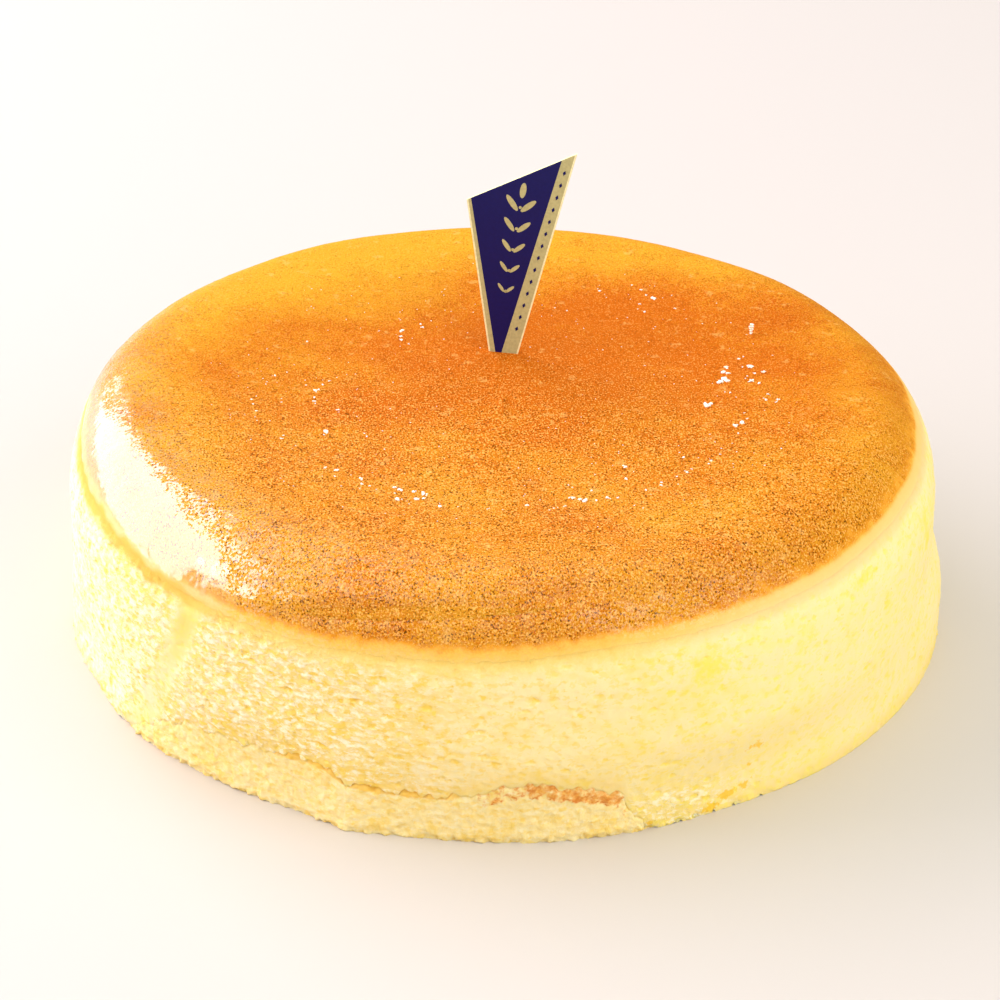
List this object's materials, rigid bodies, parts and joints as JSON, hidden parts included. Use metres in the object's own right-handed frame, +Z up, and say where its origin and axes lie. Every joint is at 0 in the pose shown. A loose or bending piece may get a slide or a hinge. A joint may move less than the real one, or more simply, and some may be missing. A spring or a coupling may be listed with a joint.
{
  "type": "jiggly cheesecake",
  "caption": "Round souffle cheesecake with a glossy browned top and soft pale side on a thin sponge base, with a small plain printed card pick stuck in the top.",
  "frame": {"origin": "middle of the flat underside, on the axis the tin was centred on", "axes": "+Z up through the cake, the front with the sponge layer showing faces -Y, +X to the right"},
  "size_m": [0.1522, 0.15, 0.0821],
  "materials": {
    "cake": "moist open crumb at the side, thin glossy glaze on a browned top",
    "sponge_base": "dry fine sponge crumb",
    "pick": "coated card printed dark blue and pale gold, satin"
  },
  "bodies": {
    "root": {"cake": "cake", "sponge_base": "sponge_base", "pick": "pick"}
  },
  "joints": []
}
